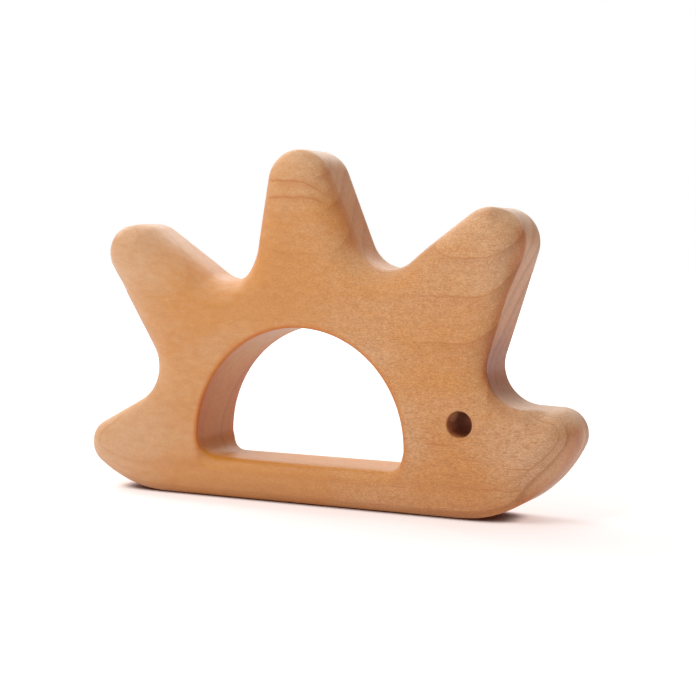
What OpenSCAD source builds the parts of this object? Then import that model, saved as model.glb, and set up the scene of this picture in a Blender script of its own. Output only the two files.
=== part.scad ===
// Wooden hedgehog figure, cut in one piece from a planed board and rounded along its edges.
// Sizes are in millimetres. X runs from the tail to the nose, Y through the board, and Z up.
// The origin is on the floor, under the middle of the figure's length and thickness.
// The front of an animal's body is its nose end. The face at -Y is called the front face.

/* [Board] */
// Length from the tail to the nose
body_length = 125; // [112:1:138]
// Height from the floor to the tip of the middle spine
body_height = 83.5; // [76:0.5:92]
// Thickness of the planed board
board_thickness = 19; // [14:0.5:26]
// Radius of the rounded edge that runs all round the outline
edge_round = 4.5; // [2:0.25:5.5]

/* [Snout and tail] */
// Radius of the nose, seen from the side
nose_radius = 6; // [5.6:0.1:8]
// Height of the snout's level top above the floor
snout_height = 25.5; // [22:0.5:29]
// Length of the snout's level top
snout_top_length = 5.3; // [3:0.1:9]
// Radius of the underside, from the floor up to the nose
chin_radius = 29.5; // [25:0.5:36]
// Radius of the tail's tip
tail_radius = 6; // [5.6:0.1:7.5]
// Height of the middle of the tail's tip above the floor
tail_height = 11.1; // [9:0.1:14]
// Radius of the underside, from the floor up to the tail
rump_radius = 32; // [26:0.5:38]

/* [Spines] */
// Radius of the tip of the spine over the nose
front_spine_radius = 7.8; // [6:0.1:9.5]
// Radius of the tip of the spine on top of the back
middle_spine_radius = 8; // [6:0.1:9.5]
// Radius of the tip of the spine over the tail
rear_spine_radius = 7.2; // [6:0.1:9]

/* [Hollows between the spines] */
// Radius of the hollow between the nose and the front spine
neck_hollow_radius = 9; // [6:0.1:12]
// Radius of the hollow between the front and the middle spine
front_hollow_radius = 9.2; // [7:0.1:12]
// Radius of the hollow between the middle and the rear spine
rear_hollow_radius = 9.6; // [7:0.1:12]
// Radius of the hollow between the rear spine and the tail
tail_hollow_radius = 9.4; // [7:0.1:12]

/* [Window] */
// Width of the window through the belly
window_width = 54; // [40:1:60]
// Height of the window, from its sill to the top of its arch
window_height = 32; // [24:1:36]
// Radius of the window's two lower corners
window_corner_radius = 5; // [2:0.5:8]
// Radius of the rounded edge round the window, on both faces
window_edge_round = 1.25; // [0.5:0.25:3]
// Height of the bar of wood under the window
belly_bar_height = 9.8; // [7:0.1:14]
// Distance from the middle of the figure back to the middle of the window
window_setback = 3.5; // [0:0.5:7]

/* [Eye] */
// Diameter of the eye, which is drilled right through the board
eye_diameter = 6; // [4:0.1:8]
// Width of the broken edge at each mouth of the eye
eye_edge_break = 0.3; // [0.1:0.05:0.6]
// Height of the eye's axis above the floor
eye_height = 21.7; // [19:0.1:25]
// Distance from the tip of the nose back to the eye's axis
eye_setback = 25.5; // [23:0.5:28]

/* [Hidden] */

// Step along each arc of an outline, in degrees
arc_step = 6;
// Steps across the rounded edge of the outline
edge_steps = 5;
// Steps across the rounded edge of the window
window_edge_steps = 3;
// Facets drawn round the eye
eye_facets = 64;
// Distance that a cut runs past the face it starts from
overrun = 1;
// Straight runs shorter than this join two arcs at one point
shortest_run = 0.01;
wood_colour = [0.83, 0.61, 0.41];

half_length = body_length / 2;
half_thickness = board_thickness / 2;

// Middles of the spines' tips and of the hollows, as shares of half the length and of the height
front_spine_share = [0.673, 0.746];
front_hollow_share = [0.281, 0.78];
middle_spine_x_share = -0.085;
rear_hollow_share = [-0.404, 0.744];
rear_spine_share = [-0.805, 0.702];
tail_hollow_share = [-0.842, 0.369];

// A point inside the window from which every point of both outlines is in plain sight
hub = [-window_setback, (belly_bar_height + snout_height) / 2];

nose_x = half_length - nose_radius;
nose_z = snout_height - nose_radius;
tail_x = tail_radius - half_length;

// Distance along the floor from a tip's middle to the middle of a larger circle that rests on the
// floor and takes the tip's circle in, so that its arc runs on into the tip's with no kink
function floor_reach(large_radius, tip_radius, tip_z) =
    sqrt(pow(large_radius - tip_radius, 2) - pow(large_radius - tip_z, 2));

// A point of the figure from its shares of half the length and of the height, with a radius
function placed(share, radius) = [share[0] * half_length, share[1] * body_height, radius];

// The circles that the outline runs round, anticlockwise as the front face shows them. Each is
// [x, z, radius], and a hollow has a negative radius.
outline_circles = [
    [tail_x + floor_reach(rump_radius, tail_radius, tail_height), rump_radius, rump_radius],
    [nose_x - floor_reach(chin_radius, nose_radius, nose_z), chin_radius, chin_radius],
    [nose_x, nose_z, nose_radius],
    [nose_x - snout_top_length, snout_height + neck_hollow_radius, -neck_hollow_radius],
    placed(front_spine_share, front_spine_radius),
    placed(front_hollow_share, -front_hollow_radius),
    [middle_spine_x_share * half_length, body_height - middle_spine_radius, middle_spine_radius],
    placed(rear_hollow_share, -rear_hollow_radius),
    placed(rear_spine_share, rear_spine_radius),
    placed(tail_hollow_share, -tail_hollow_radius),
    [tail_x, tail_height, tail_radius]
];

// The distance between two circles' middles
function reach(from, to) = norm([to[0] - from[0], to[1] - from[1]]);

// The length of the tangent line between two circles
function tangent_run(from, to) =
    sqrt(max(0, pow(reach(from, to), 2) - pow(from[2] - to[2], 2)));

// The angle of the normal at which the line to the next circle leaves one and touches the other
function tangent_angle(from, to) =
    let (
        heading = atan2(to[1] - from[1], to[0] - from[0]),
        lean = acos(min(1, max(-1, (from[2] - to[2]) / reach(from, to))))
    )
    heading - lean;

// An angle brought to between zero and a full turn
function full_turn(angle) = angle - 360 * floor(angle / 360);

// A station is [x, z, normal x, normal z]: a point of an outline and its outward normal
function arc_station(circle, angle) = [
    circle[0] + circle[2] * cos(angle),
    circle[1] + circle[2] * sin(angle),
    cos(angle),
    sin(angle)
];

// The stations along one circle of a chain, from the tangent it is met at to the one it is left at
function arc_stations(before, circle, after) =
    let (
        start = tangent_angle(before, circle),
        turn = full_turn(tangent_angle(circle, after) - start),
        sweep = circle[2] > 0 ? turn : turn - 360,
        steps = max(1, ceil(abs(sweep) / arc_step)),
        first = tangent_run(before, circle) < shortest_run ? 1 : 0
    )
    [for (k = [first : steps]) arc_station(circle, start + sweep * k / steps)];

// The stations of a closed outline that runs round a chain of circles
function chain_stations(circles) =
    let (count = len(circles))
    [
        for (k = [0 : count - 1])
            each arc_stations(circles[(k + count - 1) % count], circles[k], circles[(k + 1) % count])
    ];

// A station on the window's arch, which is half an ellipse that stands on its lower corners
function arch_station(angle) =
    let (
        half_width = window_width / 2,
        rise = window_height - window_corner_radius,
        slope = [rise * cos(angle), half_width * sin(angle)],
        normal = slope / norm(slope)
    )
    [
        half_width * cos(angle) - window_setback,
        rise * sin(angle) + belly_bar_height + window_corner_radius,
        normal[0],
        normal[1]
    ];

// A circle in one of the window's lower corners: side is 1 towards the nose and -1 towards the tail
function window_corner(side) = [
    side * (window_width / 2 - window_corner_radius) - window_setback,
    belly_bar_height + window_corner_radius,
    window_corner_radius
];

// The stations of the window: the arch, the lower corner by the tail, and the one by the nose
function window_stations() =
    let (
        arch_steps = ceil(180 / arc_step),
        corner_steps = ceil(90 / arc_step)
    )
    [
        for (k = [0 : arch_steps]) arch_station(180 * k / arch_steps),
        for (k = [1 : corner_steps]) arc_station(window_corner(-1), 180 + 90 * k / corner_steps),
        for (k = [0 : corner_steps - 1]) arc_station(window_corner(1), 270 + 90 * k / corner_steps)
    ];

// Layers through the board for an edge that is rounded on both faces, from the front face to the
// back face. Each is [y, distance]: at the depth y, the rounded surface lies that far along the
// normal from the wall.
function edge_layers(radius, steps) =
    let (
        front = [
            for (k = [0 : steps])
                let (angle = 90 * k / steps)
                [radius - half_thickness - radius * cos(angle), radius - radius * sin(angle)]
        ]
    )
    [
        each front,
        for (k = [steps : -1 : 0]) [-front[k][0], front[k][1]]
    ];

// The points of an outline at one layer. side is -1 where the layer's distance draws the outline
// in, and 1 where it spreads the outline out.
function ring(stations, layer, side) = [
    for (station = stations)
        [
            station[0] + side * layer[1] * station[2],
            layer[0],
            station[1] + side * layer[1] * station[3]
        ]
];

// The triangles of a wall through rings that lie one behind another, seen from outside them
function wall_faces(first_point, count, rings) = [
    for (layer = [0 : rings - 2], k = [0 : count - 1])
        let (
            here = first_point + layer * count + k,
            next = first_point + layer * count + (k + 1) % count
        )
        each [[here, next, next + count], [here, next + count, here + count]]
];

// The same triangles, seen from their other side
function turned(faces) = [for (face = faces) [face[0], face[2], face[1]]];

// The bearings of a ring's points round the hub, each from zero to a full turn past the base
function bearings(points, base) = [
    for (point = points) full_turn(atan2(point[2] - hub[1], point[0] - hub[0]) - base)
];

// The place in a list where its smallest value stands
function smallest(values) = search(min(values), values)[0];

// The triangles of the face between the outline's ring and the window's, seen from the front. A
// pointer that turns round the hub passes the points of both rings, and each triangle joins the
// edge that it has just passed on one ring to the last point that it passed on the other.
function face_triangles(outline_ring, window_ring, first_outline, first_window) =
    let (
        base = atan2(outline_ring[0][2] - hub[1], outline_ring[0][0] - hub[0]),
        outline_turns = bearings(outline_ring, base),
        window_turns = bearings(window_ring, base),
        outline_count = len(outline_ring),
        window_count = len(window_ring),
        window_start = smallest(window_turns)
    )
    [
        for (k = [0 : outline_count - 1])
            let (
                next = (k + 1) % outline_count,
                turn = next == 0 ? 360 : outline_turns[next],
                passed = len([for (t = window_turns) if (t < turn) t]),
                facing = (window_start + passed + window_count - 1) % window_count
            )
            [first_outline + next, first_outline + k, first_window + facing],
        for (k = [0 : window_count - 1])
            let (
                next = (k + 1) % window_count,
                passed = len([for (t = outline_turns) if (t <= window_turns[next]) t])
            )
            [first_window + k, first_window + next, first_outline + passed - 1]
    ];

// The board with its outline, its window and their rounded edges, as one closed solid
module carved_board() {
    outline = chain_stations(outline_circles);
    window = window_stations();
    outline_rings = [for (layer = edge_layers(edge_round, edge_steps)) ring(outline, layer, -1)];
    window_rings = [
        for (layer = edge_layers(window_edge_round, window_edge_steps)) ring(window, layer, 1)
    ];
    first_window = len(outline) * len(outline_rings);
    last_outline = first_window - len(outline);
    last_window = first_window + len(window) * (len(window_rings) - 1);
    front_outline = outline_rings[0];
    front_window = window_rings[0];
    polyhedron(
        points = [
            for (rings = [outline_rings, window_rings], one_ring = rings) each one_ring
        ],
        faces = [
            each wall_faces(0, len(outline), len(outline_rings)),
            each turned(wall_faces(first_window, len(window), len(window_rings))),
            each face_triangles(front_outline, front_window, 0, first_window),
            each turned(face_triangles(front_outline, front_window, last_outline, last_window))
        ],
        convexity = 10
    );
}

// The broken edge at the mouth of the eye in the front face, drawn round the eye's axis
module eye_mouth() {
    depth = eye_edge_break + overrun;
    translate([0, 0, half_thickness - eye_edge_break])
        cylinder(h = depth, r1 = eye_diameter / 2, r2 = eye_diameter / 2 + depth, $fn = eye_facets);
}

// The drilled eye, with the edges of both mouths broken
module eye_cut() {
    translate([half_length - eye_setback, 0, eye_height]) rotate([90, 0, 0]) {
        cylinder(h = board_thickness + 2 * overrun, d = eye_diameter, center = true, $fn = eye_facets);
        eye_mouth();
        mirror([0, 0, 1]) eye_mouth();
    }
}

// The whole figure: one board, with the window and the eye cut through it
module hedgehog_body() {
    color(wood_colour) difference() {
        carved_board();
        eye_cut();
    }
}

hedgehog_body();
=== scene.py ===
"""The wooden hedgehog figure, carved in one piece from a planed board of pale hardwood.

Sizes in the classes are in millimetres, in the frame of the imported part: X runs from the tail to
the nose, Y through the board from the front face to the back face, and Z up from the floor.
Meshes and the studio are in metres, and colours are linear RGB.
"""

import logging
import math
from dataclasses import dataclass, field
from enum import Enum

import bpy
import numpy as np
from mathutils import Matrix, Vector


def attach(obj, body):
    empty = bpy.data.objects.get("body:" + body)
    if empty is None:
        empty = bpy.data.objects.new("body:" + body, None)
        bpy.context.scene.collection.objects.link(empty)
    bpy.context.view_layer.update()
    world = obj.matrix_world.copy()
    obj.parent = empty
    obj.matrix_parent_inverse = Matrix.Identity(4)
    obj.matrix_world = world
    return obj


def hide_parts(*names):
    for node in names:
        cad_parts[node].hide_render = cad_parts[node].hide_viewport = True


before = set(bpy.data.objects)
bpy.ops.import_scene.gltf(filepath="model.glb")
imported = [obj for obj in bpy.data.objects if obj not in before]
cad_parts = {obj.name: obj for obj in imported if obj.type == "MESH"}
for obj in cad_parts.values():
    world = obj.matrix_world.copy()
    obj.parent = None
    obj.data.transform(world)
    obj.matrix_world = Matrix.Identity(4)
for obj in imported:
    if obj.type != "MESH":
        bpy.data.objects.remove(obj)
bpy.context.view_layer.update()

LOG = logging.getLogger("hedgehog")
MM = 0.001
TO_MILLIMETRES = (1.0 / MM, 1.0 / MM, 1.0 / MM)
TURN = 2.0 * math.pi
IMAGE_SIZE = 696

Array = np.ndarray
Circle = tuple[float, float, float]
Triple = tuple[float, float, float]
Colour = tuple[float, float, float, float]
# A smooth step: its two ends, and what it gives at each where that isn't 0 and 1.
Step = tuple[float, ...]


class Side(Enum):
    """A face of the board: the value is the sign of Y on that side."""

    FRONT = -1
    BACK = 1


def unit(angles: Array) -> Array:
    """Unit vectors (cos, sin) at the angles, in radians, one row each."""
    return np.stack([np.cos(angles), np.sin(angles)], axis=-1)


def smooth_ramp(values: Array) -> Array:
    """The smooth step 3t^2 - 2t^3 of values held between 0 and 1."""
    t = np.clip(values, 0.0, 1.0)
    return t * t * (3.0 - 2.0 * t)


@dataclass
class Contour:
    """A closed line in the XZ plane, as points and their unit normals, anticlockwise.

    Args:
        points: One row [x, z] for each station.
        normals: One row [x, z] for each station, pointing away from what the line encloses.
    """

    points: Array
    normals: Array

    def moved(self, distance: float | Array) -> Array:
        """The points carried along their normals by a distance."""
        return self.points + np.reshape(distance, (-1, 1)) * self.normals

    def at_bearings(self, hub: Array, wanted: Array, distance: float | Array) -> "Contour":
        """Stations of the line that are seen from the hub at the wanted bearings.

        The bearing of every point, moved along its normal by the distance, is unwrapped to a
        rising series, and points and normals are read off it by linear interpolation.

        Args:
            hub: The point [x, z] that the bearings are taken from.
            wanted: Bearings in radians, in any turn.
            distance: How far the points are moved before their bearings are taken.

        Returns:
            A contour with one station for each wanted bearing.
        """
        spread = self.moved(distance) - hub
        seen = np.unwrap(np.arctan2(spread[:, 1], spread[:, 0]))
        series = np.concatenate([seen - TURN, seen, seen + TURN])
        goal = seen[0] + np.mod(wanted - seen[0], TURN)
        columns = np.hstack([self.points, self.normals])
        tripled = np.vstack([columns, columns, columns])
        read = np.stack([np.interp(goal, series, column) for column in tripled.T], axis=1)
        normals = read[:, 2:] / np.linalg.norm(read[:, 2:], axis=1, keepdims=True)
        return Contour(read[:, :2], normals)


@dataclass
class Outline:
    """The figure's outline: circles joined by their common tangents.

    Each circle is (x, z, radius), in anticlockwise order, and a hollow has a negative radius.
    """

    rump: Circle = (-41.03, 32.0, 32.0)
    chin: Circle = (35.23, 29.5, 29.5)
    nose: Circle = (56.5, 19.5, 6.0)
    neck_hollow: Circle = (51.2, 34.5, -9.0)
    front_spine: Circle = (42.06, 62.29, 7.8)
    front_hollow: Circle = (17.56, 65.13, -9.2)
    middle_spine: Circle = (-5.31, 75.5, 8.0)
    rear_hollow: Circle = (-25.25, 62.12, -9.6)
    rear_spine: Circle = (-50.31, 58.62, 7.2)
    tail_hollow: Circle = (-52.62, 30.81, -9.4)
    tail: Circle = (-56.5, 11.1, 6.0)
    spacing: float = 0.8
    arc_step: float = math.radians(5.0)
    shortest_run: float = 0.05

    def circles(self) -> list[Circle]:
        """The circles in order round the figure."""
        return [value for value in vars(self).values() if isinstance(value, tuple)]

    @staticmethod
    def tangent_angle(start: Circle, end: Circle) -> float:
        """The angle of the normal on the tangent line from one circle to the next.

        It is the heading between the middles, less the arc cosine of the difference of the
        radii over the distance.
        """
        heading = math.atan2(end[1] - start[1], end[0] - start[0])
        reach = math.hypot(end[0] - start[0], end[1] - start[1])
        return heading - math.acos(max(-1.0, min(1.0, (start[2] - end[2]) / reach)))

    def contour(self) -> Contour:
        """The outline as stations that are evenly spaced along its arcs and straight runs.

        An arc's stations are centre + radius * (cos, sin) of an even run of angles. A straight
        run's stations are an even run between two tangent points, with one normal.

        Returns:
            The contour, anticlockwise, starting under the rump.
        """
        circles = self.circles()
        points, normals = [], []
        for before, circle, after in zip(circles[-1:] + circles[:-1], circles, circles[1:] + circles[:1]):
            centre = np.array(circle[:2])
            start = self.tangent_angle(before, circle)
            leave = self.tangent_angle(circle, after)
            sweep = (leave - start) % TURN
            if circle[2] < 0.0:
                sweep -= TURN
            arc = abs(sweep * circle[2])
            steps = max(2, math.ceil(max(arc / self.spacing, abs(sweep) / self.arc_step)))
            facing = unit(start + sweep * np.arange(steps) / steps)
            points.append(centre + circle[2] * facing)
            normals.append(facing)
            normal = unit(np.array(leave))
            first = centre + circle[2] * normal
            last = np.array(after[:2]) + after[2] * normal
            run = float(np.linalg.norm(last - first))
            if run > self.shortest_run:
                steps = max(1, round(run / self.spacing))
                share = np.arange(steps)[:, None] / steps
                points.append(first + (last - first) * share)
                normals.append(np.repeat(normal[None, :], steps, axis=0))
        return Contour(np.vstack(points), np.vstack(normals))


@dataclass
class Window:
    """The arched window through the belly: half an ellipse on a straight sill with round corners."""

    middle_x: float = -3.5
    sill_z: float = 9.8
    half_width: float = 27.0
    height: float = 32.0
    corner_radius: float = 5.0
    rim_radius: float = 0.75
    sill_radius: float = 3.3
    rim_grows: tuple[float, float] = (0.3, 1.0)
    stations: int = 2400

    def rim(self, normals: Array) -> Array:
        """The radius of the rounded rim: small on the arch and large on the sill.

        It follows a smooth step of how far the window's normal points down.
        """
        low, high = self.rim_grows
        share = smooth_ramp((-normals[:, 1] - low) / (high - low))
        return self.rim_radius + (self.sill_radius - self.rim_radius) * share

    def contour(self) -> Contour:
        """The window as a dense line of stations, anticlockwise from the end by the nose.

        The arch is (half width * cos, rise * sin) over half a turn, and its normal is the
        gradient of the ellipse. The corners are quarter circles, and the sill joins them.

        Returns:
            The contour, with normals pointing out of the window and into the wood.
        """
        rise = self.height - self.corner_radius
        spring = self.sill_z + self.corner_radius
        turn = np.linspace(0.0, math.pi, self.stations)
        arch = np.stack([self.half_width * np.cos(turn), rise * np.sin(turn)], axis=1)
        slope = np.stack([rise * np.cos(turn), self.half_width * np.sin(turn)], axis=1)
        slope /= np.linalg.norm(slope, axis=1, keepdims=True)
        inner = self.half_width - self.corner_radius
        quarter = np.linspace(0.0, math.pi / 2.0, self.stations // 8)[1:]
        tail_corner = unit(math.pi + quarter)
        nose_corner = unit(1.5 * math.pi + quarter[:-1])
        sill_x = np.linspace(-inner, inner, self.stations // 2)[1:]
        sill = np.stack([sill_x, np.full_like(sill_x, -self.corner_radius)], axis=1)
        down = np.repeat([[0.0, -1.0]], len(sill_x), axis=0)
        points = np.vstack([
            arch,
            tail_corner * self.corner_radius - [inner, 0.0],
            sill,
            nose_corner * self.corner_radius + [inner, 0.0],
        ])
        normals = np.vstack([slope, tail_corner, down, nose_corner])
        return Contour(points + [self.middle_x, spring], normals)


@dataclass
class Eye:
    """The eye, drilled right through the board, with broken edges at its mouths.

    The mesh of the face is bent within its reach, so that a block of its cells leaves clear the
    mouth and two flat rings round it, and there are several points of a mouth for each point
    round the block.
    """

    x: float = 37.0
    z: float = 21.7
    radius: float = 3.0
    edge_break: float = 0.3
    edge_steps: int = 4
    flat_rings: tuple[float, float] = (0.7, 0.5)
    clear_radius: float = 3.7
    reach: float = 5.5
    block_rows: int = 2
    block_columns: int = 3
    split: int = 6
    wall_rows: int = 80

    def opened(self, flat: Array) -> Array:
        """Points of a face pushed away from the eye's axis, to make room for its mouth.

        Within its reach, a point at the distance d from the axis moves out to
        clear radius + (reach - clear radius) * d / reach, in the same direction.

        Args:
            flat: Points with X and Z in the last dimension.

        Returns:
            The moved points, in the same shape.
        """
        offset = flat - [self.x, self.z]
        distance = np.linalg.norm(offset, axis=-1, keepdims=True)
        pushed = self.clear_radius + (self.reach - self.clear_radius) * distance / self.reach
        scale = np.where(distance < self.reach, pushed / np.maximum(distance, 1e-9), 1.0)
        return offset * scale + [self.x, self.z]

    def round_axis(self, radius: float | Array, depth: Array, angles: Array) -> Array:
        """Rings round the axis, as rings by angles by XYZ: axis + radius * (cos, sin)."""
        depth = np.broadcast_to(depth, (len(depth), len(angles)))
        across = radius * np.cos(angles) + 0.0 * depth
        up = radius * np.sin(angles) + 0.0 * depth
        return np.stack([self.x + across, depth, self.z + up], axis=-1)

    def mouth(self, angles: Array, half_thickness: float) -> Array:
        """The rings of one mouth, as rings by angles by [x, depth from the middle, z].

        The first rings are flat, from outside the broken edge up to it. The last ones go over
        the edge as a quarter circle down to the bore.

        Args:
            angles: The angle of every point round the axis.
            half_thickness: Half the thickness of the board.

        Returns:
            The rings, with the depth as a positive distance from the middle of the board.
        """
        t = np.linspace(0.0, math.pi / 2.0, self.edge_steps)
        flat = self.radius + np.array(self.flat_rings)
        radius = np.concatenate([flat, self.radius + self.edge_break * (1.0 - np.sin(t))])
        depth = np.concatenate([0.0 * flat, self.edge_break * (1.0 - np.cos(t))])
        return self.round_axis(radius[:, None], half_thickness - depth[:, None], angles)

    def wall(self, angles: Array, half_thickness: float) -> Array:
        """The rings of the bore between its mouths, at an even run of depths."""
        end = half_thickness - self.edge_break
        depth = np.linspace(-end, end, self.wall_rows + 1)[1:-1, None]
        return self.round_axis(self.radius, depth, angles)


@dataclass(frozen=True)
class Stretch:
    """A stretch of the outline that was sanded in its own way, as a product of smooth steps.

    Args:
        amount: What it adds where all its steps are full.
        along: Steps of X, each with its empty and its full end.
        up: Steps of Z, in the same way.
    """

    amount: float
    along: tuple[Step, ...]
    up: tuple[Step, ...] = ()

    def at(self, points: Array) -> Array:
        """What it adds at each point [x, z]."""
        share = np.ones(len(points))
        for column, steps in zip(points.T, (self.along, self.up)):
            for empty, full in steps:
                share = share * smooth_ramp((column - empty) / (full - empty))
        return self.amount * share


@dataclass
class Carving:
    """One closed mesh of the figure, worked out as rings round the hub.

    The front was sanded back further at the nose, the tip of the front spine and the right-hand
    sides of the rear and the middle one. The crease is how far the side is cut into the
    shoulder, and it fades out again over the nose. The sides lie inside the solid's by what was
    sanded off.
    """

    outline: Outline = field(default_factory=Outline)
    window: Window = field(default_factory=Window)
    eye: Eye = field(default_factory=Eye)
    half_thickness: float = 9.5
    shoulder_width: float = 7.2
    shoulder_depth: float = 4.2
    deeper: tuple[Stretch, ...] = (
        Stretch(6.5, ((50.0, 57.0),), ((34.0, 28.0),)),
        Stretch(4.4, ((42.0, 47.0),), ((49.0, 60.0),)),
        Stretch(5.6, ((-56.0, -48.0), (-15.0, -23.0)), ((48.0, 54.0),)),
        Stretch(2.2, ((0.0, 6.0), (28.0, 20.0)), ((50.0, 58.0),)),
    )
    crease: Stretch = Stretch(0.35, ((38.0, 46.0),))
    no_crease: Stretch = Stretch(1.0, ((49.0, 55.0),), ((38.0, 32.0),))
    crease_softness: float = 0.18
    edge_width: float = 4.5
    sanded_off: float = 0.004
    hub: tuple[float, float] = (12.0, 12.0)
    edge_rows: int = 12
    side_rows: int = 12
    face_rows: int = 28
    rim_rows: int = 7
    wall_rows: int = 14
    rim_falls: tuple[float, ...] = (0.75, 0.5, 0.3, 0.15)
    # How much of the painted rim shade the first row of the front face carries.
    first_row_tone: float = 0.6
    # Painted shade where a rounded edge meets the side: over how many rows, and how much at the crease.
    worn_rows: int = 7
    crease_tone: float = 0.5
    even_reach: int = 8

    @property
    def back_row(self) -> int:
        """The first row of the back face, after the front face, the rounded edges and the side."""
        return self.face_rows + 1 + 2 * self.edge_rows + self.side_rows

    @property
    def rim_row(self) -> int:
        """The first row of the window's rim, after the back face."""
        return self.back_row + self.face_rows + 1

    def rings(self) -> tuple[Array, Array]:
        """Every ring of the mesh, as an array of rows by stations by XYZ, in millimetres.

        The rows run round the section of the board: up the front face from the window to the
        outline, over the rounded edge and across the side, back down the back face, over the
        window's rim and through the window's wall.

        Returns:
            The grid, and the radius of the window's rim at every station.
        """
        outer = self.outline.contour()
        hub = np.array(self.hub)
        face_ring = outer.moved(-self.edge_width)
        spread = face_ring - hub
        bearing = np.unwrap(np.arctan2(spread[:, 1], spread[:, 0]))
        dense = self.window.contour()
        inner = dense.at_bearings(hub, self.eased(bearing), self.window.rim(dense.normals))
        rim = self.window.rim(inner.normals)
        inner_ring = inner.moved(rim)
        half = self.half_thickness
        shallow = self.shoulder_depth
        deep = sum((stretch.at(outer.points) for stretch in self.deeper), start=shallow)
        crease = self.crease.at(outer.points) * (1.0 - self.no_crease.at(outer.points))
        start, near, end = (
            np.arcsin(1.0 - (reach + crease) / self.shoulder_width)
            for reach in (self.edge_width, self.crease_softness, 0.0)
        )
        sweep = [start + (near - start) * t for t in np.linspace(0.0, 1.0, self.edge_rows)] + [end]
        edge = [self.shoulder_width * (1.0 - np.sin(angle)) - crease for angle in sweep[1:]]
        share = np.linspace(0.0, 1.0, self.face_rows + 1)
        flats = [self.eye.opened(inner_ring + (face_ring - inner_ring) * t) for t in share]
        insets = [self.distance(flat, outer.points) for flat in flats] + edge
        flats += [outer.moved(-np.maximum(inset, self.sanded_off)) for inset in edge]
        front = [self.fall(inset, deep, crease) - half for inset in insets]
        back = [half - self.fall(inset, shallow, crease) for inset in insets]
        low = self.fall(0.0, deep, crease) + self.crease_softness - half
        high = half - self.fall(0.0, shallow, crease) - self.crease_softness
        turn = np.linspace(0.0, math.pi / 2.0, self.rim_rows + 1)[1:]
        rims = [(inner.moved(rim * (1.0 - math.sin(t))), half - rim * (1.0 - math.cos(t))) for t in turn]
        levels = np.linspace(1.0, -1.0, self.wall_rows + 1)[1:-1]
        side = outer.moved(-self.sanded_off)
        rows = [
            *zip(flats, front),
            *((side, low + (high - low) * t) for t in np.linspace(0.0, 1.0, self.side_rows)),
            *zip(flats[::-1], back[::-1]),
            *rims,
            *((inner.points, (half - rim) * level) for level in levels),
            *((flat, -depth) for flat, depth in rims[::-1]),
        ]
        grid = np.stack([np.stack([flat[:, 0], depth, flat[:, 1]], axis=1) for flat, depth in rows])
        return grid, rim

    def fall(self, inset: float | Array, depth: float | Array, crease: Array) -> Array:
        """How far the wood lies below the face at a distance from the outline.

        It is depth * (1 - sqrt(1 - u^2)), part of an ellipse, where u falls from nearly 1 at the
        outline to 0 on the face. The ellipse's own end lies beyond the outline by the crease's
        width, so the side is cut into it and leaves a crisp crease.

        Args:
            inset: The distance from the outline.
            depth: The depth of the whole ellipse.
            crease: How far the ellipse runs on beyond the outline.

        Returns:
            The depth below the face at every point.
        """
        u = np.clip(1.0 - (inset + crease) / self.shoulder_width, 0.0, 1.0)
        return depth * (1.0 - np.sqrt(1.0 - u * u))

    @staticmethod
    def distance(flat: Array, line: Array) -> Array:
        """The distance of every point from a closed line, over all of the line's segments.

        A point is projected on each segment, the share of the way along is held between 0 and
        1, and the nearest of these feet counts.
        """
        step = np.roll(line, -1, axis=0) - line
        offset = flat[:, None, :] - line[None, :, :]
        along = np.clip(np.sum(offset * step, axis=-1) / np.sum(step * step, axis=-1), 0.0, 1.0)
        return np.linalg.norm(offset - along[..., None] * step, axis=-1).min(axis=1)

    def eased(self, bearing: Array) -> Array:
        """Bearings whose spacing is evened out, so that the rows' cells keep their width.

        The steps between bearings are averaged over a window of stations, which keeps them
        above zero, and are summed again from the same start.
        """
        steps = np.diff(np.append(bearing, bearing[0] + TURN))
        reach = self.even_reach
        kernel = np.ones(2 * reach + 1) / (2 * reach + 1)
        wrapped = np.concatenate([steps[-reach:], steps, steps[:reach]])
        even = np.convolve(wrapped, kernel, mode="valid")
        start = np.concatenate([[0.0], np.cumsum(even)[:-1]])
        drift = np.mean(bearing - bearing[0] - start)
        return bearing[0] + start + drift

    def rim_tone(self, row_count: int, rim: Array) -> Array:
        """Painted shade on the window's rim at each point: 1 on the rounded edges, then a fall.

        The rows next to the rounded edges, on the faces and on the wall, carry a little of it,
        and it fades out towards the sill, where the rim's radius grows.
        """
        tone = np.zeros(row_count)
        first = self.rim_row
        tone[first:first + self.rim_rows] = 1.0
        tone[-self.rim_rows:] = 1.0
        for step, share in enumerate(self.rim_falls):
            tone[first + self.rim_rows + step] = share
            tone[-self.rim_rows - 1 - step] = share
        tone[0] = self.first_row_tone
        arch = (self.window.sill_radius - rim) / (self.window.sill_radius - self.window.rim_radius)
        return tone[:, None] * arch[None, :]

    def edge_tone(self, row_count: int) -> Array:
        """How much painted shade each row gets where a rounded edge meets the side.

        It is a smooth step over the last rows of each rounded edge, less at the crease itself
        and nothing on the side and the faces.
        """
        rise = smooth_ramp(np.arange(1, self.worn_rows + 1) / self.worn_rows)
        tone = np.zeros(row_count)
        front_crease = self.face_rows + self.edge_rows
        back_crease = self.back_row - self.edge_rows
        tone[front_crease - self.worn_rows:front_crease] = rise
        tone[back_crease + 1:back_crease + 1 + self.worn_rows] = rise[::-1]
        tone[[front_crease, back_crease]] = self.crease_tone
        return tone

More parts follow.
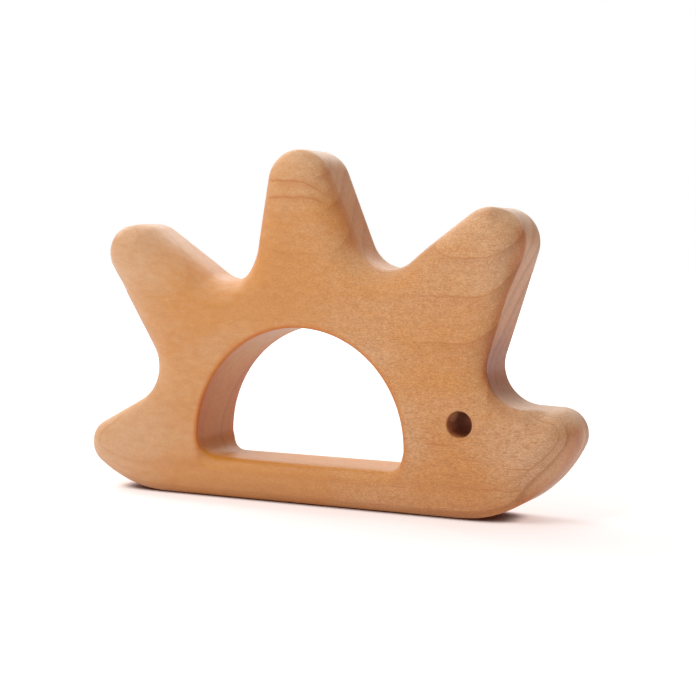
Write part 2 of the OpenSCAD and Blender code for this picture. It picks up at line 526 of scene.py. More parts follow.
    def mesh_data(self) -> tuple[Array, Array, Array, Array, dict[str, Array]]:
        """The vertices and faces of the whole figure, the eye among them.

        Returns:
            Vertices in metres, quads and triangles of vertex numbers whose normals point out of
            the wood, for each face whether it is in the bore, and the painted shades of the vertices
            by their names.
        """
        grid, rim = self.rings()
        row_count, count = grid.shape[:2]
        number = np.arange(row_count * count).reshape(row_count, count)
        above = np.roll(number, -1, axis=0)
        corners = [number, above, np.roll(above, -1, axis=1), np.roll(number, -1, axis=1)]
        quads = np.stack(corners, axis=-1)
        back_end = self.back_row + self.face_rows
        quads[self.back_row:back_end] = np.roll(quads[self.back_row:back_end], -1, axis=-1)
        keep = np.ones((row_count, count), bool)
        block_rows, block_columns = self.eye_block(grid)
        loop_row, loop_column, angles = self.eye_angles(grid, block_rows, block_columns)
        vertices = [grid.reshape(-1, 3)]
        new_quads, triangles, bores = [], [], []
        total = row_count * count
        for side in Side:
            facing = side is Side.FRONT
            grid_row = loop_row if facing else back_end - loop_row
            cell_row = block_rows[:-1] if facing else back_end - block_rows[1:]
            keep[np.ix_(cell_row, block_columns[:-1] % count)] = False
            mouth = self.eye.mouth(angles, self.half_thickness) * [1.0, side.value, 1.0]
            vertices.append(mouth.reshape(-1, 3))
            rings = total + np.arange(mouth.shape[0] * len(angles)).reshape(-1, len(angles))
            total += rings.size
            triangles.append(self.collar(number[grid_row, loop_column % count], rings[0], facing))
            new_quads.append(self.strip(rings, facing))
            bores.append(rings[-1])
        wall = self.eye.wall(angles, self.half_thickness)
        vertices.append(wall.reshape(-1, 3))
        rings = total + np.arange(wall.shape[0] * len(angles)).reshape(-1, len(angles))
        new_quads.append(self.strip(np.vstack([bores[0], rings, bores[1]]), True))
        outside = int(keep.sum()) + sum(len(faces) for faces in new_quads[:-1])
        quads = np.vstack([quads[keep]] + new_quads)
        triangles = np.vstack(triangles)
        bored = np.zeros(len(quads) + len(triangles), bool)
        bored[outside:len(quads)] = True
        corners = np.concatenate([quads.ravel(), triangles.ravel()])
        used, flat = np.unique(corners, return_inverse=True)
        solid = np.vstack(vertices)[used] * MM
        # Painted shade on the window's rim and where a rounded edge meets the side.
        painted_shades = {
            "rim_tone": self.rim_tone(row_count, rim).ravel(),
            "edge_tone": np.repeat(self.edge_tone(row_count), count),
        }
        rest = np.zeros(total + rings.size - row_count * count)
        painted_shades = {name: np.concatenate([tone, rest])[used] for name, tone in painted_shades.items()}
        return solid, flat[:quads.size].reshape(-1, 4), flat[quads.size:].reshape(-1, 3), bored, painted_shades

    def eye_block(self, grid: Array) -> tuple[Array, Array]:
        """The rows and the stations of the small block of face cells round the eye's axis."""
        face = grid[:self.face_rows + 1][:, :, [0, 2]]
        distance = np.linalg.norm(face - [self.eye.x, self.eye.z], axis=-1)
        row, column = np.unravel_index(np.argmin(distance), distance.shape)
        rows = np.arange(row - self.eye.block_rows, row + self.eye.block_rows + 1)
        columns = np.arange(column - self.eye.block_columns, column + self.eye.block_columns + 1)
        return rows, columns

    def eye_angles(self, grid: Array, rows: Array, columns: Array) -> tuple[Array, Array, Array]:
        """The points round a block of cells and the angles of an eye's mouth beside them.

        The angles of the block's points round the eye's axis are split evenly between each two.

        Args:
            grid: The rings of the mesh.
            rows: The rows of the block.
            columns: The stations of the block.

        Returns:
            The rows and the stations of the block's points, with rising angles, and the angles
            of all points of a mouth.
        """
        row, column = self.loop(rows, columns)
        ring = grid[row, column % grid.shape[1]][:, [0, 2]]
        offset = ring - [self.eye.x, self.eye.z]
        corner = np.unwrap(np.arctan2(offset[:, 1], offset[:, 0]))
        if corner[-1] < corner[0]:
            row, column, corner = row[::-1], column[::-1], corner[::-1]
        places = np.arange(len(corner) * self.eye.split) / self.eye.split
        closed = np.append(corner, corner[0] + TURN)
        return row, column, np.interp(places, np.arange(len(closed)), closed)

    @staticmethod
    def loop(rows: Array, columns: Array) -> tuple[Array, Array]:
        """The rows and columns of the points once round the edge of a block."""
        row = np.concatenate([
            np.full(len(columns), rows[0]), rows[1:],
            np.full(len(columns) - 1, rows[-1]), rows[-2:0:-1],
        ])
        column = np.concatenate([
            columns, np.full(len(rows) - 1, columns[-1]),
            columns[-2::-1], np.full(len(rows) - 2, columns[0]),
        ])
        return row, column

    @staticmethod
    def strip(rings: Array, facing: bool) -> Array:
        """The quads between closed rings of vertex numbers, turned over where not facing."""
        after = np.roll(rings, -1, axis=1)
        quads = np.stack([rings[:-1], after[:-1], after[1:], rings[1:]], axis=-1).reshape(-1, 4)
        return quads if facing else quads[:, ::-1]

    @staticmethod
    def collar(coarse: Array, fine: Array, facing: bool) -> Array:
        """The triangles between a coarse ring and a ring with several points for each of its.

        Each coarse edge is joined to the fine points beside it: the first half of them to the
        edge's start, the middle one to both ends, and the rest to the edge's end.
        """
        split = len(fine) // len(coarse)
        inner = np.append(fine, fine[0])
        first = np.arange(len(coarse))[:, None] * split + np.arange(split)[None, :]
        ends = np.roll(coarse, -1)
        near = np.where(np.arange(split)[None, :] < split // 2, coarse[:, None], ends[:, None])
        fans = np.stack([near, inner[first + 1], inner[first]], axis=-1).reshape(-1, 3)
        bridges = np.stack([coarse, ends, fine[first[:, 0] + split // 2]], axis=-1)
        triangles = np.vstack([fans, bridges])
        return triangles if facing else triangles[:, ::-1]

    def build(self) -> bpy.types.Object:
        """The figure as a mesh object that replaces the plain solid."""
        vertices, quads, triangles, bored, painted_shades = self.mesh_data()
        mesh = bpy.data.meshes.new("carved_figure")
        mesh.from_pydata(vertices.tolist(), [], quads.tolist() + triangles.tolist())
        mesh.validate()
        mesh.polygons.foreach_set("use_smooth", np.ones(len(mesh.polygons), bool))
        mesh.polygons.foreach_set("material_index", bored.astype(np.int32))
        # Each painted shade is kept as a vertex attribute.
        for name, tone in painted_shades.items():
            values = mesh.attributes.new(name, "FLOAT", "POINT").data
            values.foreach_set("value", tone.astype(np.float32))
        mesh.update()
        figure = bpy.data.objects.new("carved_figure", mesh)
        bpy.context.scene.collection.objects.link(figure)
        LOG.info("carved_figure: %d vertices, %d quads", len(vertices), len(quads))
        return figure


class Op(Enum):
    """The sums that a Math node does here."""

    ADD = "ADD"
    SUBTRACT = "SUBTRACT"
    MULTIPLY = "MULTIPLY"
    DIVIDE = "DIVIDE"
    MAXIMUM = "MAXIMUM"
    POWER = "POWER"
    SQRT = "SQRT"
    ABSOLUTE = "ABSOLUTE"
    SINE = "SINE"


Socket = bpy.types.NodeSocket
Node = bpy.types.Node
Tree = bpy.types.NodeTree
Material = bpy.types.Material
Feed = Socket | float | tuple[float, ...]
NUMBER = "NodeSocketFloat"
VECTOR = "NodeSocketVector"
COLOUR = "NodeSocketColor"
WHITE: Colour = (1.0, 1.0, 1.0, 1.0)


@dataclass(frozen=True)
class Texture:
    """Noise from 0 to 1.

    Args:
        scale: Its bumps a millimetre along each axis.
        shift: How far it is moved, so that no two are alike.
        detail: How many finer layers it has.
        roughness: How strong each finer layer is.
        size: How far it moves what it is added to, from end to end.
    """

    scale: Triple
    shift: float
    detail: float = 2.0
    roughness: float = 0.5
    size: float = 1.0


@dataclass
class Wiring:
    """A node tree and the short ways of adding the nodes that this script uses."""

    tree: Tree

    def node(self, kind: str, **settings: object) -> Node:
        """Adds a node and sets its properties."""
        made = self.tree.nodes.new(kind)
        for name, value in settings.items():
            setattr(made, name, value)
        return made

    def feed(self, socket: Socket, value: Feed) -> None:
        """Links a socket to another, or sets its own value."""
        if isinstance(value, Socket):
            self.tree.links.new(value, socket)
        else:
            socket.default_value = value

    def fill(self, made: Node, values: dict[str, Feed]) -> None:
        """Feeds several inputs of a node, by their names."""
        for title, value in values.items():
            self.feed(made.inputs[title], value)

    def placed(self, group: Tree, values: dict[str, Feed]) -> Node:
        """Adds a node group and feeds its inputs."""
        made = self.node("ShaderNodeGroup", node_tree=group)
        self.fill(made, values)
        return made

    def parts(self, vector: Feed) -> list[Socket]:
        """The X, Y and Z of a vector."""
        made = self.node("ShaderNodeSeparateXYZ")
        self.feed(made.inputs[0], vector)
        return list(made.outputs)

    def length(self, vector: Feed) -> Socket:
        """The length of a vector."""
        made = self.node("ShaderNodeVectorMath", operation="LENGTH")
        self.feed(made.inputs[0], vector)
        return made.outputs["Value"]

    def maths(self, op: Op, first: Feed, second: Feed = 0.0, clamp: bool = False) -> Socket:
        """One sum of two values."""
        made = self.node("ShaderNodeMath", operation=op.value, use_clamp=clamp)
        self.feed(made.inputs[0], first)
        self.feed(made.inputs[1], second)
        return made.outputs[0]

    def joined(self, op: Op, *values: Feed) -> Feed:
        """Values joined by one sum, from the left."""
        made = values[0]
        for value in values[1:]:
            made = self.maths(op, made, value)
        return made

    def product(self, *factors: Feed) -> Feed:
        """Values multiplied together."""
        return self.joined(Op.MULTIPLY, *factors)

    def total(self, *terms: Feed) -> Feed:
        """Values added up."""
        return self.joined(Op.ADD, *terms)

    def largest(self, *values: Feed) -> Feed:
        """The largest of several values."""
        return self.joined(Op.MAXIMUM, *values)

    def less(self, first: Feed, second: Feed, clamp: bool = False) -> Socket:
        """One value less another."""
        return self.maths(Op.SUBTRACT, first, second, clamp)

    def size_of(self, value: Feed) -> Socket:
        """A value without its sign."""
        return self.maths(Op.ABSOLUTE, value)

    def swing(self, value: Feed, size: Feed) -> Feed:
        """A value from 0 to 1 as a swing of a size to both sides of nothing."""
        return self.product(self.less(value, 0.5), size)

    def ramp(self, value: Feed, low: Feed, high: Feed, at_low: float = 0.0, at_high: float = 1.0) -> Socket:
        """A smooth step of a value from one range to another."""
        made = self.node("ShaderNodeMapRange", interpolation_type="SMOOTHSTEP", clamp=True)
        for socket, given in zip(made.inputs, (value, low, high, at_low, at_high)):
            self.feed(socket, given)
        return made.outputs[0]

    def stretched(self, vector: Feed, scale: Feed, shift: Feed = (0.0, 0.0, 0.0)) -> Socket:
        """A vector with each of its parts scaled, then moved."""
        made = self.node("ShaderNodeVectorMath", operation="MULTIPLY_ADD")
        for socket, given in zip(made.inputs, (vector, scale, shift)):
            self.feed(socket, given)
        return made.outputs[0]

    def noise(self, point: Feed, texture: Texture) -> Socket:
        """A texture at a point in millimetres."""
        made = self.node("ShaderNodeTexNoise", noise_dimensions="3D")
        moved = self.stretched(point, texture.scale, (texture.shift, texture.shift, texture.shift))
        self.fill(made, {
            "Vector": moved, "Scale": 1.0, "Detail": texture.detail, "Roughness": texture.roughness,
        })
        return made.outputs["Fac"]

    def bent(self, point: Feed, texture: Texture) -> Feed:
        """A texture at a point, as a swing of its own size."""
        return self.swing(self.noise(point, texture), texture.size)

    def blend(self, share: Feed, first: Feed, second: Feed, mode: str = "MIX") -> Socket:
        """A mix of two colours."""
        made = self.node("ShaderNodeMix", data_type="RGBA", blend_type=mode)
        for place, value in ((0, share), (6, first), (7, second)):
            self.feed(made.inputs[place], value)
        return made.outputs[2]

    def toned(self, share: Feed, colour: Feed, tone: Colour) -> Socket:
        """A colour multiplied by a tone, as far as the share says."""
        return self.blend(share, colour, tone, "MULTIPLY")

    def attribute(self, name: str) -> Socket:
        """A tone that the mesh keeps for each of its vertices."""
        return self.node("ShaderNodeAttribute", attribute_name=name).outputs["Fac"]

    def bump(self, height: Feed, strength: float, distance: float) -> Socket:
        """The normal of a surface with fine relief."""
        made = self.node("ShaderNodeBump")
        self.fill(made, {"Height": height, "Strength": strength, "Distance": distance})
        return made.outputs["Normal"]


def socket_group(
    name: str, inputs: dict[str, float | None], outputs: dict[str, str],
) -> tuple[Wiring, dict[str, Socket], Node]:
    """A new shader node group with named sockets.

    Args:
        name: The group's name.
        inputs: Each input's value where nothing is linked, or None for a vector.
        outputs: Each output's kind of socket.

    Returns:
        The wiring of the group, its inputs by name, and its output node.
    """
    group = bpy.data.node_groups.new(name, "ShaderNodeTree")
    for title, value in inputs.items():
        kind = VECTOR if value is None else NUMBER
        socket = group.interface.new_socket(title, in_out="INPUT", socket_type=kind)
        if value is not None:
            socket.default_value = value
    for title, kind in outputs.items():
        group.interface.new_socket(title, in_out="OUTPUT", socket_type=kind)
    wiring = Wiring(group)
    entry = wiring.node("NodeGroupInput")
    return wiring, {title: entry.outputs[title] for title in inputs}, wiring.node("NodeGroupOutput")


def new_material(name: str) -> tuple[Material, Wiring, Node]:
    """A new material, its wiring and its shader."""
    made = bpy.data.materials.new(name)
    made.use_nodes = True
    return made, Wiring(made.node_tree), made.node_tree.nodes["Principled BSDF"]


@dataclass(frozen=True)
class Ring:
    """One growth ring's edge.

    Args:
        radius: The distance from the pith, in millimetres.
        line: How dark the line is.
        band: How dark the late wood is that leads up to the line.
        fade: How far inside the line the late wood starts, in millimetres.
        start: The X at which the line has faded out towards the tail.
    """

    radius: float
    line: float
    band: float
    fade: float = 2.0
    start: float = -200.0


@dataclass(frozen=True)
class Patch:
    """A soft oval that is paler, or warmer where its strength is negative; over the tips it is painted
    sheen.
    """

    middle_x: float
    middle_z: float
    half_x: float
    half_z: float
    strength: float


@dataclass(frozen=True)
class Stroke:
    """A short dark streak on the front face.

    Args:
        start: The X of its end by the tail.
        end: The X of its end by the nose.
        height: The Z of its middle.
        bow: How far it has risen by its end, fallen where negative.
        width: Half its width.
        strength: How dark it is.
    """

    start: float
    end: float
    height: float
    bow: float
    width: float
    strength: float


def named(mark: Ring | Patch | Stroke) -> dict[str, float]:
    """The fields of a mark as inputs of its node group."""
    return {name.replace("_", " ").title(): value for name, value in vars(mark).items()}


class At(Enum):
    """What a smooth step can follow at a point of the wood."""

    X = "its X"
    Y = "its Y"
    Z = "its Z"
    INSIDE = "how far it lies below the nearer face"
    UPWARD = "how far its surface faces up"
    SIDEWAYS = "how far its surface faces either end"
    ACROSS = "how far its surface faces the front or the back"
    CLOUDS = "slow noise from 0 to 1"


Place = dict[At, Socket]


@dataclass(frozen=True)
class Fade:
    """A smooth step of one of a point's values, and what it gives at its ends."""

    at: At
    low: float
    high: float
    at_low: float = 0.0
    at_high: float = 1.0


def faded(wiring: Wiring, place: Place, fades: tuple[Fade, ...], *values: Feed) -> Feed:
    """Values and the smooth steps at a place, all multiplied together."""
    steps = [wiring.ramp(place[fade.at], fade.low, fade.high, fade.at_low, fade.at_high) for fade in fades]
    return wiring.product(*values, *steps)


@dataclass(frozen=True)
class Hardwood:
    """The pale hardwood: growth rings round a pith behind the board, warm patches and flecks.

    The pith is a line along X behind the board, at floor level. A ring's line fades in over a
    length past its start, and its band is gone a little past its line.
    """

    pith_y: float = 80.0
    half_thickness: float = 9.5
    steep_z: float = 50.0
    steepening: float = 0.0095
    pale: Colour = (0.605, 0.342, 0.178, 1.0)
    honey: Colour = (0.590, 0.262, 0.078, 1.0)
    late: Colour = (0.78, 0.66, 0.58, 1.0)
    line: Colour = (0.50, 0.190, 0.055, 1.0)
    pore: Colour = (0.46, 0.18, 0.065, 1.0)
    end_grain: Colour = (0.97, 0.82, 0.68, 1.0)
    # Darker wood with painted shade, laid on the walls of the neck hollow.
    stain: Colour = (0.66, 0.45, 0.24, 1.0)
    # Painted warm shade inside the window: warmer, and far less blue, on its walls and sill.
    inner_wall: Colour = (0.95, 0.82, 0.20, 1.0)
    # Painted shade on the window's rounded rim, darker and more orange.
    rim: Colour = (0.98, 0.72, 0.42, 1.0)
    # Painted shade, darker and more orange, where a rounded edge meets the side.
    shoulder: Colour = (0.84, 0.64, 0.50, 1.0)
    paleness: float = 0.22
    line_width: float = 0.18
    fades_in: float = 14.0
    band_ends: float = 0.126
    least_band: float = 0.4
    bow_power: float = 6.0
    stroke_ends: Step = (0.6, 1.0, 1.0, 0.0)
    pores_in_flecks: Step = (0.62, 0.74, 0.0, 0.75)
    roughness: Step = (0.3, 0.7, 0.38, 0.48)
    relief: tuple[float, float] = (0.6, 0.3)
    slow: Texture = Texture((0.030, 0.045, 0.045), 11.3, 1.0, size=0.045)
    quick: Texture = Texture((0.12, 0.35, 0.35), 3.7, size=0.010)
    waver: Texture = Texture((0.35, 0.05, 0.35), 17.0, size=1.4)
    clouds: Texture = Texture((0.05, 0.09, 0.09), 21.0, size=1.2)
    streaks: Texture = Texture((0.20, 0.95, 0.95), 5.0, 3.0, 0.6, size=0.8)
    mottle: Texture = Texture((0.38, 0.75, 0.75), 31.0, 1.0)
    flecks: Texture = Texture((0.60, 3.4, 3.4), 9.0, 1.0)
    speckle: Texture = Texture((1.9, 3.3, 3.3), 2.0, 1.0, 0.6)
    mottle_tints: Triple = (0.12, 0.26, 0.46)
    fleck_tints: Triple = (0.12, 0.22, 0.36)
    speckle_tints: Triple = (0.66, 0.86, 1.15)
    below_skin: tuple[Fade, ...] = (Fade(At.INSIDE, 0.3, 2.0), Fade(At.X, -18.0, 0.0, 0.25, 1.0))
    bands_shown: tuple[Fade, ...] = (
        Fade(At.INSIDE, 0.1, 2.0, 0.35, 1.0), Fade(At.UPWARD, 0.45, 0.80, 1.0, 0.25),
        Fade(At.X, 20.0, 34.0, 0.55, 1.0),
    )
    on_front: tuple[Fade, ...] = (Fade(At.Y, -8.8, -7.0, 1.0, 0.0),)
    on_ends: tuple[Fade, ...] = (Fade(At.SIDEWAYS, 0.62, 0.95),)
    # The neck hollow, where darker wood and painted shade are laid on.
    at_neck: tuple[Fade, ...] = (
        Fade(At.X, 36.0, 42.0), Fade(At.Z, 25.0, 29.0), Fade(At.Z, 36.0, 46.0, 1.0, 0.0),
        Fade(At.X, 50.0, 57.0, 1.0, 0.0), Fade(At.ACROSS, 0.3, 0.8, 1.0, 0.0),
    )
    # Where the painted warm shade inside the window falls.
    in_window: tuple[Fade, ...] = (
        Fade(At.X, -36.0, -31.0), Fade(At.X, 23.0, 27.0, 1.0, 0.0),
        Fade(At.Z, 43.0, 47.0, 1.0, 0.0), Fade(At.ACROSS, 0.3, 0.8, 1.0, 0.0),
    )
    # Where the painted shade of the shoulders falls: surfaces that face an end and not up.
    on_edges: tuple[Fade, ...] = (
        Fade(At.SIDEWAYS, 0.1, 0.6), Fade(At.UPWARD, 0.15, 0.55, 1.0, 0.0),
        Fade(At.CLOUDS, 0.25, 0.55, 0.55, 1.0), Fade(At.X, 5.0, 45.0, 0.6, 1.0),
    )
    crisp: tuple[Fade, ...] = (Fade(At.X, -25.0, 22.0, 0.30, 1.0),)
    dense_head: tuple[Fade, ...] = (
        Fade(At.X, 24.0, 34.0, 0.0, 0.05), Fade(At.Z, 24.0, 34.0, 1.0, 0.0),
    )
    rings: tuple[Ring, ...] = (
        Ring(73.6, 0.40, 0.40, 2.6), Ring(75.8, 0.25, 0.30, 2.4),
        Ring(79.2, 0.40, 1.00, 3.2), Ring(82.4, 0.10, 0.12, 1.6),
        Ring(88.2, 0.15, 1.00, 2.4, 60.0), Ring(89.8, 0.65, 0.45, 1.0, 44.0),
        Ring(89.8, 0.28, 0.30, 0.8), Ring(92.3, 0.30, 1.00, 6.0, 60.0),
        Ring(97.8, 0.70, 0.85, 4.0, 22.0), Ring(99.7, 0.08, 0.15, 1.4),
        Ring(102.6, 0.65, 0.80, 4.0, 22.0), Ring(105.7, 0.10, 0.15, 1.4),
        Ring(107.9, 0.65, 0.85, 4.0, 24.0), Ring(107.9, 0.30, 0.60, 3.0, -30.0),
        Ring(111.4, 0.10, 0.20, 2.0), Ring(115.0, 0.40, 0.95, 4.5, 60.0),
        Ring(118.2, 0.20, 0.50, 2.2, 60.0), Ring(122.2, 0.35, 0.90, 3.6, 60.0),
    )
    # The first five, over the tail, the rear spine, the middle spine's top, the front spine's tip and the
    # nose, are painted sheen: paler and less orange where the satin finish catches the light. The rest are
    # paler and warmer wood.
    patches: tuple[Patch, ...] = (
        Patch(-57.0, 15.0, 34.0, 26.0, 0.95), Patch(-52.0, 60.0, 26.0, 26.0, 0.85),
        Patch(-4.0, 84.0, 22.0, 22.0, 0.85), Patch(44.0, 68.0, 26.0, 28.0, 0.85),
        Patch(56.0, 21.0, 26.0, 20.0, 0.90), Patch(24.0, 17.0, 9.0, 13.0, 0.35),
        Patch(16.0, 36.0, 9.0, 13.0, 0.25), Patch(-12.0, 58.0, 18.0, 13.0, -0.35),
        Patch(31.0, 36.0, 14.0, 13.0, -0.14), Patch(-20.0, 4.0, 38.0, 11.0, -0.85),
        Patch(8.0, 70.0, 8.0, 7.0, -0.50), Patch(-30.0, 44.0, 15.0, 9.0, -0.35),
        Patch(38.0, 10.0, 16.0, 9.0, -0.40),
    )
    strokes: tuple[Stroke, ...] = (
        Stroke(-17.0, 6.5, 76.0, -10.5, 0.50, 0.90),
        Stroke(-17.0, 8.0, 72.3, -7.0, 0.50, 0.90),
        Stroke(-10.0, 8.5, 75.2, -10.5, 1.60, 0.35),
        Stroke(-12.0, 10.0, 71.9, -7.0, 1.30, 0.30),
        Stroke(-12.0, 1.0, 67.6, -0.6, 0.22, 0.30),
        Stroke(28.0, 38.0, 16.9, 0.2, 0.26, 0.90),
        Stroke(35.5, 42.5, 14.1, 0.0, 0.24, 0.80),
        Stroke(32.0, 40.0, 10.2, 0.2, 0.24, 0.75),
        Stroke(47.0, 54.5, 12.8, 0.2, 0.26, 0.85), Stroke(34.0, 58.0, 7.6, 0.8, 0.24, 0.90),
        Stroke(20.0, 29.0, 55.6, 0.4, 0.20, 0.45),
        Stroke(33.0, 41.0, 64.0, 0.3, 0.18, 0.40),
        Stroke(-20.0, -6.0, 54.8, 0.8, 0.25, 0.25),
        Stroke(-46.0, -30.0, 47.0, 0.6, 0.25, 0.25),
    )

    @staticmethod
    def mark_group(name: str, mark: Patch | Stroke) -> tuple[Wiring, dict[str, Socket], Node]:
        """A new group that draws one mark at an X and a Z and joins it to a mask."""
        return socket_group(name, {"X": 0.0, "Z": 0.0, "Before": 0.0, **named(mark)}, {"Mask": NUMBER})

    def ring_group(self) -> Tree:
        """A group for one growth ring's edge, which adds its masks to those of the rings before.

        The band rises as a smooth step, squared, over the fade below the edge and is nothing
        above it. The line falls off on both sides. Both are drawn past the start along the
        board, and everywhere below the faces' skin.
        """
        wiring, given, leave = socket_group(
            "growth_ring_edge",
            {"Distance": 0.0, "X": 0.0, "Inside": 0.0, "Lines": 0.0, "Bands": 0.0, **named(self.rings[0])},
            {"Lines": NUMBER, "Bands": NUMBER},
        )
        place = {At.X: given["X"], At.INSIDE: given["Inside"]}
        offset = wiring.less(given["Distance"], given["Radius"])
        rise = wiring.ramp(offset, wiring.product(given["Fade"], -1.0), 0.0)
        fall = wiring.ramp(offset, 0.0, self.band_ends, 1.0, 0.0)
        shown = wiring.ramp(given["X"], given["Start"], wiring.total(given["Start"], self.fades_in))
        shown = wiring.largest(shown, faded(wiring, place, self.below_skin))
        band = wiring.product(wiring.product(rise, rise), fall, given["Band"])
        share = wiring.total(wiring.product(shown, 1.0 - self.least_band), self.least_band)
        line = wiring.ramp(wiring.size_of(offset), 0.0, self.line_width, 1.0, 0.0)
        line = wiring.product(line, given["Line"], shown)
        wiring.fill(leave, {
            "Lines": wiring.largest(given["Lines"], line),
            "Bands": wiring.largest(given["Bands"], wiring.product(band, share)),
        })
        return wiring.tree

    def patch_group(self) -> Tree:
        """A group for one soft oval, added to those before: a smooth fall over its half sizes."""
        wiring, given, leave = self.mark_group("soft_patch", self.patches[0])
        squares = []
        for axis in ("X", "Z"):
            away = wiring.less(given[axis], given["Middle " + axis])
            share = wiring.maths(Op.DIVIDE, away, given["Half " + axis])
            squares.append(wiring.product(share, share))
        reach = wiring.maths(Op.SQRT, wiring.total(*squares))
        mask = wiring.product(wiring.ramp(reach, 0.0, 1.0, 1.0, 0.0), given["Strength"])
        wiring.fill(leave, {"Mask": wiring.total(given["Before"], mask)})
        return wiring.tree

    def stroke_group(self) -> Tree:
        """A group for one short streak, kept where it is darker than those before.

        With t running from -1 to 1 along the streak, its middle line is
        height + bow * ((t + 1) / 2)^6, it fades towards each end, and it falls off over its
        half width.
        """
        wiring, given, leave = self.mark_group("short_streak", self.strokes[0])
        middle = wiring.product(wiring.total(given["Start"], given["End"]), 0.5)
        half_length = wiring.product(wiring.less(given["End"], given["Start"]), 0.5)
        t = wiring.maths(Op.DIVIDE, wiring.less(given["X"], middle), half_length)
        part = wiring.maths(Op.MULTIPLY, wiring.total(t, 1.0), 0.5, clamp=True)
        curve = wiring.product(wiring.maths(Op.POWER, part, self.bow_power), given["Bow"])
        away = wiring.less(wiring.less(given["Z"], given["Height"]), curve)
        across = wiring.ramp(wiring.size_of(away), 0.0, given["Width"], 1.0, 0.0)
        along = wiring.ramp(wiring.size_of(t), *self.stroke_ends)
        mask = wiring.product(across, along, given["Strength"])
        wiring.fill(leave, {"Mask": wiring.largest(given["Before"], mask)})
        return wiring.tree

    def place(self, wiring: Wiring, point: Socket) -> Place:
        """What smooth steps can follow at a point, given in millimetres."""
        x, y, z = wiring.parts(point)
        shape = wiring.node("ShaderNodeNewGeometry")
        ahead, across, upward = wiring.parts(shape.outputs["Normal"])
        return {
            At.X: x, At.Y: y, At.Z: z, At.UPWARD: upward,
            At.INSIDE: wiring.less(self.half_thickness, wiring.size_of(y)),
            At.SIDEWAYS: wiring.size_of(ahead),
            At.ACROSS: wiring.size_of(across),
            At.CLOUDS: wiring.noise(point, self.clouds),
        }

    def ring_masks(self, wiring: Wiring, point: Socket, place: Place) -> tuple[Feed, Feed]:
        """The masks of the lines and of the bands of all rings.

        The distance from the pith is sqrt((y - pith)^2 + height^2). The height is z, with the
        square of what lies over the steep level added, and two textures times z bend it.
        """
        z = place[At.Z]
        depth = wiring.less(place[At.Y], self.pith_y)
        over = wiring.largest(wiring.less(z, self.steep_z), 0.0)
        height = wiring.total(z, wiring.product(over, over, self.steepening))
        square = wiring.total(wiring.product(depth, depth), wiring.product(height, height))
        bend = wiring.total(wiring.bent(point, self.slow), wiring.bent(point, self.quick))
        distance = wiring.total(wiring.maths(Op.SQRT, square), wiring.product(bend, z))
        group = self.ring_group()
        lines: Feed = 0.0
        bands: Feed = 0.0
        for ring in self.rings:
            made = wiring.placed(group, {
                "Distance": distance, "X": place[At.X], "Inside": place[At.INSIDE],
                "Lines": lines, "Bands": bands, **named(ring),
            })
            lines, bands = made.outputs["Lines"], made.outputs["Bands"]
        return lines, faded(wiring, place, self.bands_shown, bands)

    @staticmethod
    def marks(
        wiring: Wiring, group: Tree, marks: tuple[Patch | Stroke, ...], x: Feed, z: Feed,
    ) -> Feed:
        """The mask of several marks, each of which joins itself to those before."""
        mask: Feed = 0.0
        for mark in marks:
            made = wiring.placed(group, {"X": x, "Z": z, "Before": mask, **named(mark)})
            mask = made.outputs["Mask"]
        return mask

    def speckled(self, wiring: Wiring, point: Socket, place: Place, flecks: Feed, colour: Feed) -> Socket:
        """A colour with its mottle, flecks and speckle, each with tints of its own, and its pores."""
        crisp = faded(wiring, place, self.crisp)
        shade: Feed = (1.0, 1.0, 1.0)
        for texture, share, tints in (
            (wiring.noise(point, self.mottle), 1.0, self.mottle_tints),
            (flecks, crisp, self.fleck_tints),
            (wiring.noise(point, self.speckle), crisp, self.speckle_tints),
        ):
            shade = wiring.stretched(wiring.swing(texture, share), tints, shade)
        dense = wiring.total(flecks, faded(wiring, place, self.dense_head))
        pores = wiring.product(wiring.ramp(dense, *self.pores_in_flecks), crisp)
        return wiring.blend(pores, wiring.stretched(colour, shade), self.pore)

    def grain_group(self) -> Tree:
        """The wood as a group: its colour, its roughness and the height of its fine relief.

        Warmer and paler wood with painted sheen over the tips, the rings' bands, the tones of the walls
        and edges (darker end grain, darker wood and painted shade at the neck, painted warm shade in
        the window and painted shade where a rounded edge meets the side), speckle and pores, painted
        shade on the window's rim, and last the rings' lines and the short streaks lie over each other.
        """
        wiring, given, leave = socket_group(
            "hardwood_grain", {"Point": None}, {"Colour": COLOUR, "Roughness": NUMBER, "Relief": NUMBER},
        )
        point = wiring.stretched(given["Point"], TO_MILLIMETRES)
        place = self.place(wiring, point)
        x, z = place[At.X], place[At.Z]
        lines, bands = self.ring_masks(wiring, point, place)
        wavy = wiring.total(z, wiring.bent(point, self.waver))
        strokes = self.marks(wiring, self.stroke_group(), self.strokes, x, wavy)
        lines = wiring.largest(lines, faded(wiring, place, self.on_front, strokes))
        streaks = wiring.noise(point, self.streaks)
        flecks = wiring.noise(point, self.flecks)
        clouds = wiring.swing(place[At.CLOUDS], self.clouds.size)
        warmth = wiring.total(clouds, wiring.swing(streaks, self.streaks.size))
        # Paler wood, and painted sheen over the tips.
        paler_wood_and_sheen = self.marks(wiring, self.patch_group(), self.patches, x, z)
        paleness = wiring.less(wiring.total(paler_wood_and_sheen, self.paleness), warmth, clamp=True)
        colour = wiring.blend(paleness, self.honey, self.pale)
        for share, tone in (
            (bands, self.late),
            (faded(wiring, place, self.on_ends), self.end_grain),
            # darker wood and painted shade on the walls of the neck hollow
            (faded(wiring, place, self.at_neck), self.stain),
            # painted warm shade inside the window
            (faded(wiring, place, self.in_window), self.inner_wall),
            # painted shade where a rounded edge meets the side
            (faded(wiring, place, self.on_edges, wiring.attribute("edge_tone")), self.shoulder),
        ):
            colour = wiring.toned(share, colour, tone)
        colour = self.speckled(wiring, point, place, flecks, colour)
